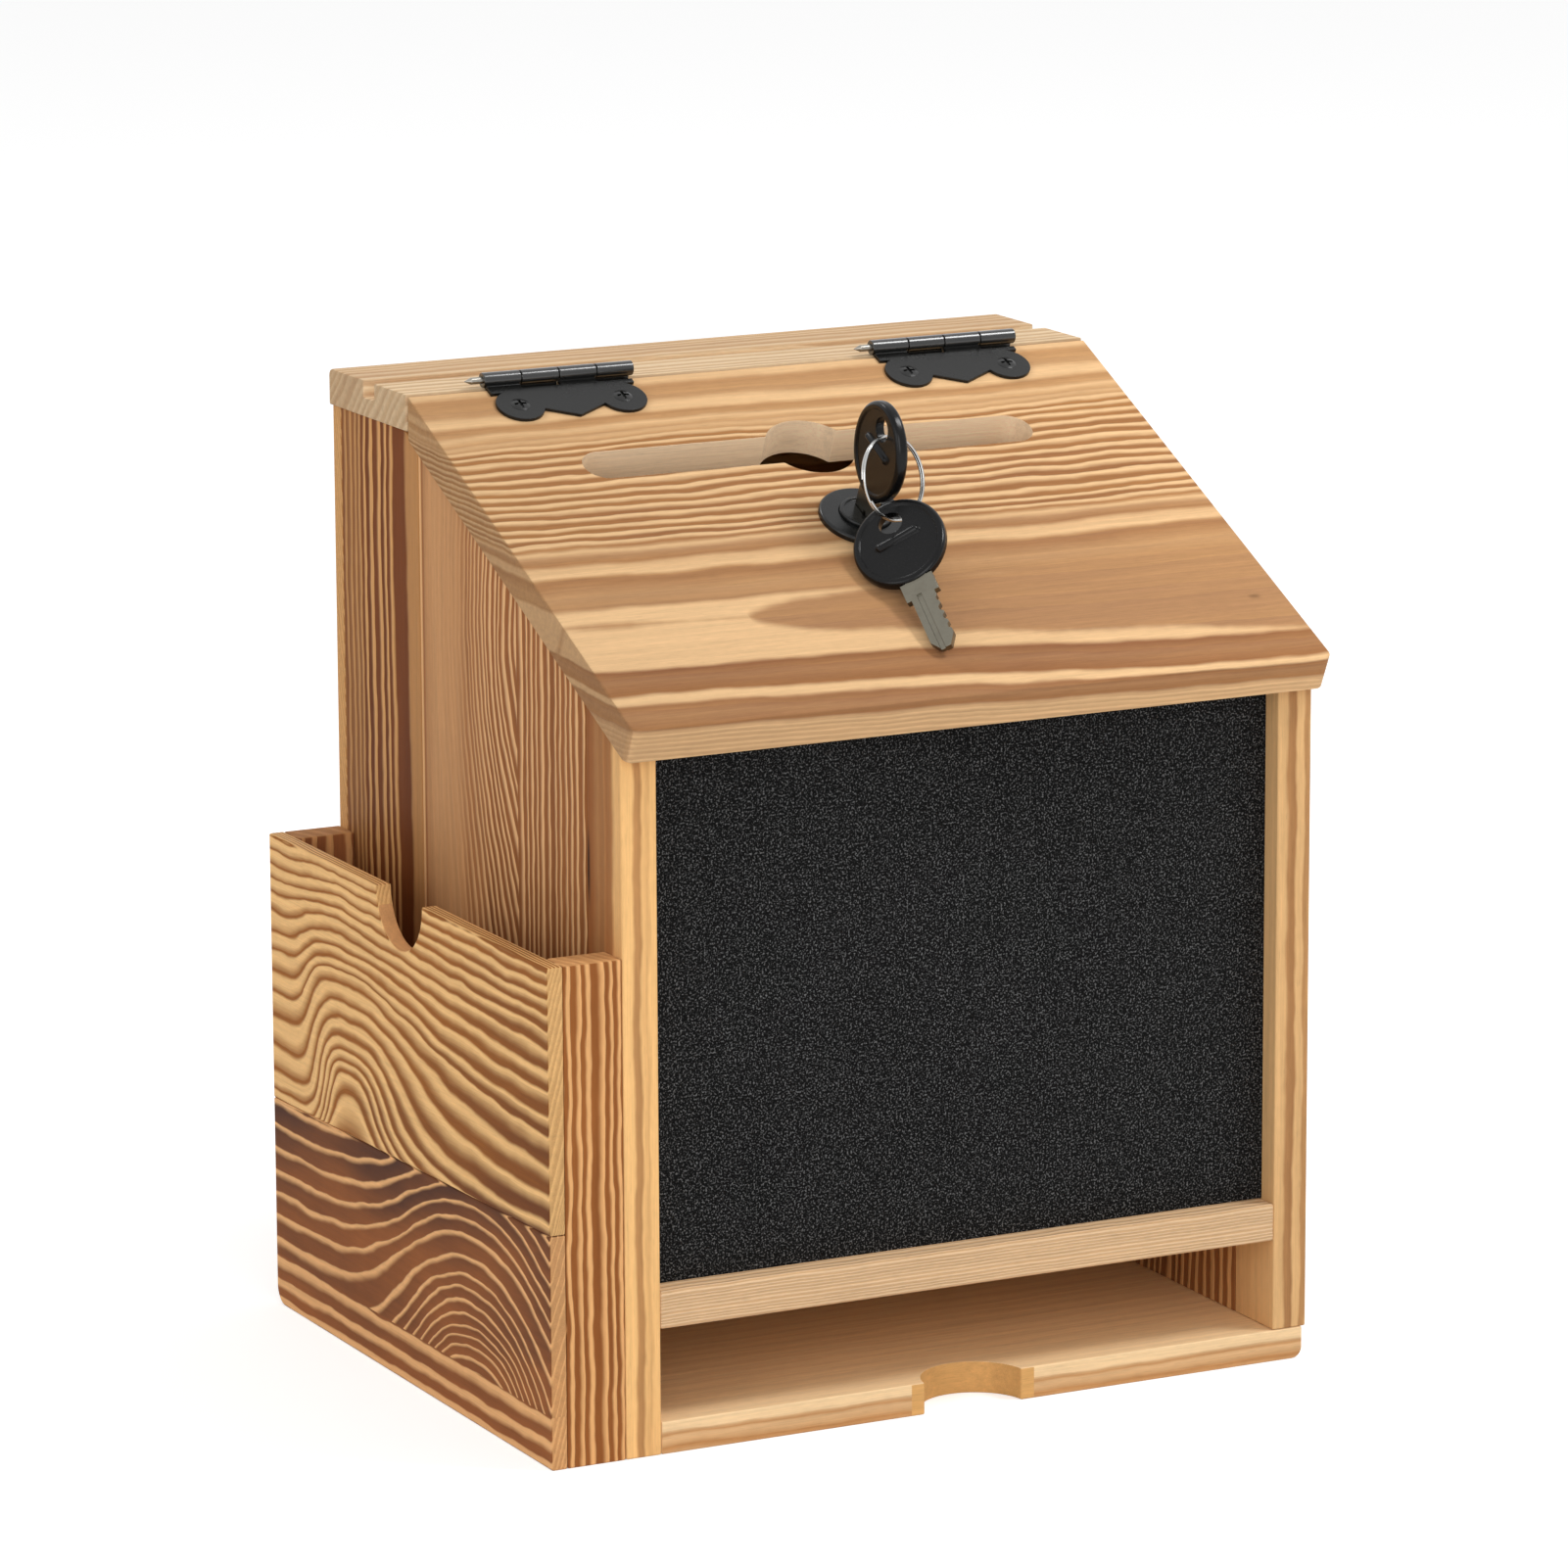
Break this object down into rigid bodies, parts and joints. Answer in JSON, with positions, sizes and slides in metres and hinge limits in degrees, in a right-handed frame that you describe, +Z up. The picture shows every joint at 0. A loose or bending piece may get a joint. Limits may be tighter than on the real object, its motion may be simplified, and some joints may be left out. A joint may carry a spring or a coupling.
{
  "type": "suggestion box",
  "caption": "Wooden suggestion box with a sloping hinged lid, letter slot, cam lock with keys, chalkboard front, open tray underneath and a card pocket on its side.",
  "frame": {"origin": "middle of the main box's underside, on the surface it stands on", "axes": "+X to the right as the front is looked at, +Y to the back, +Z up; the front with the chalkboard faces -Y and the pocket is on -X"},
  "size_m": [0.2218, 0.1849, 0.2602],
  "materials": {
    "pine_burnt": "satin, brushed and scorched along the grain",
    "pine_plain": "satin, plain",
    "chalkboard_black": "matt chalkboard paint",
    "hinge_black": "semi-gloss black",
    "pin_steel": "bare",
    "screw_black": "semi-gloss black",
    "lock_black": "semi-gloss black",
    "lock_steel": "zinc plated",
    "key_plastic": "satin black",
    "key_steel": "nickel plated",
    "ring_steel": "bright"
  },
  "bodies": {
    "box": {"left_side_front_stave": "pine_burnt", "left_side_middle_stave": "pine_burnt", "left_side_rear_stave": "pine_burnt", "right_side_front_stave": "pine_burnt", "right_side_middle_stave": "pine_burnt", "right_side_rear_stave": "pine_burnt", "base_board": "pine_plain", "divider_shelf": "pine_plain", "back_panel": "pine_plain", "chalkboard": "chalkboard_black", "top_board": "pine_burnt", "strike_bar": "pine_plain", "pocket_panel_lower": "pine_burnt", "pocket_panel_upper": "pine_burnt", "pocket_front_post": "pine_burnt", "pocket_rear_post": "pine_burnt", "pocket_floor": "pine_plain", "hinge_left_box_leaf": "hinge_black", "hinge_left_pin": "pin_steel", "hinge_left_screw_left_hidden": "screw_black", "hinge_left_screw_right_hidden": "screw_black", "hinge_right_box_leaf": "hinge_black", "hinge_right_pin": "pin_steel", "hinge_right_screw_left_hidden": "screw_black", "hinge_right_screw_right_hidden": "screw_black"},
    "lid": {"lid_board": "pine_burnt", "hinge_left_lid_leaf": "hinge_black", "hinge_left_screw_left": "screw_black", "hinge_left_screw_right": "screw_black", "hinge_right_lid_leaf": "hinge_black", "hinge_right_screw_left": "screw_black", "hinge_right_screw_right": "screw_black", "lock_housing": "lock_black", "lock_nut": "lock_steel"},
    "lock_plug": {"lock_plug": "lock_black", "lock_cam": "lock_steel", "lock_cam_screw": "lock_steel"},
    "key": {"key_blade": "key_steel", "key_head": "key_plastic"},
    "key_ring": {"key_ring": "ring_steel"},
    "spare_key": {"spare_key_blade": "key_steel", "spare_key_head": "key_plastic"}
  },
  "joints": [
    {"name": "lid_hinge", "type": "hinge", "parent": "box", "child": "lid", "pos_m": [0, 0.0375, 0.25822], "axis": [-1, 0, 0], "range_deg": [0, 210]},
    {"name": "lock_turn", "type": "hinge", "parent": "lid", "child": "lock_plug", "pos_m": [0, -0.02756, 0.22469], "axis": [0, 0.4337, -0.9011], "range_deg": [0, 90]},
    {"name": "key_slide", "type": "slide", "parent": "lock_plug", "child": "key", "axis": [0, -0.4337, 0.9011], "range_m": [0, 0.025]},
    {"name": "ring_swing", "type": "hinge", "parent": "key", "child": "key_ring", "pos_m": [0, -0.03987, 0.24848], "axis": [-1, 0, 0], "range_deg": [0, 75]},
    {"name": "spare_key_swing", "type": "hinge", "parent": "key_ring", "child": "spare_key", "pos_m": [-0.00224, -0.04576, 0.22782], "axis": [-0.9001, -0.2379, 0.365], "range_deg": [0, 18]}
  ]
}
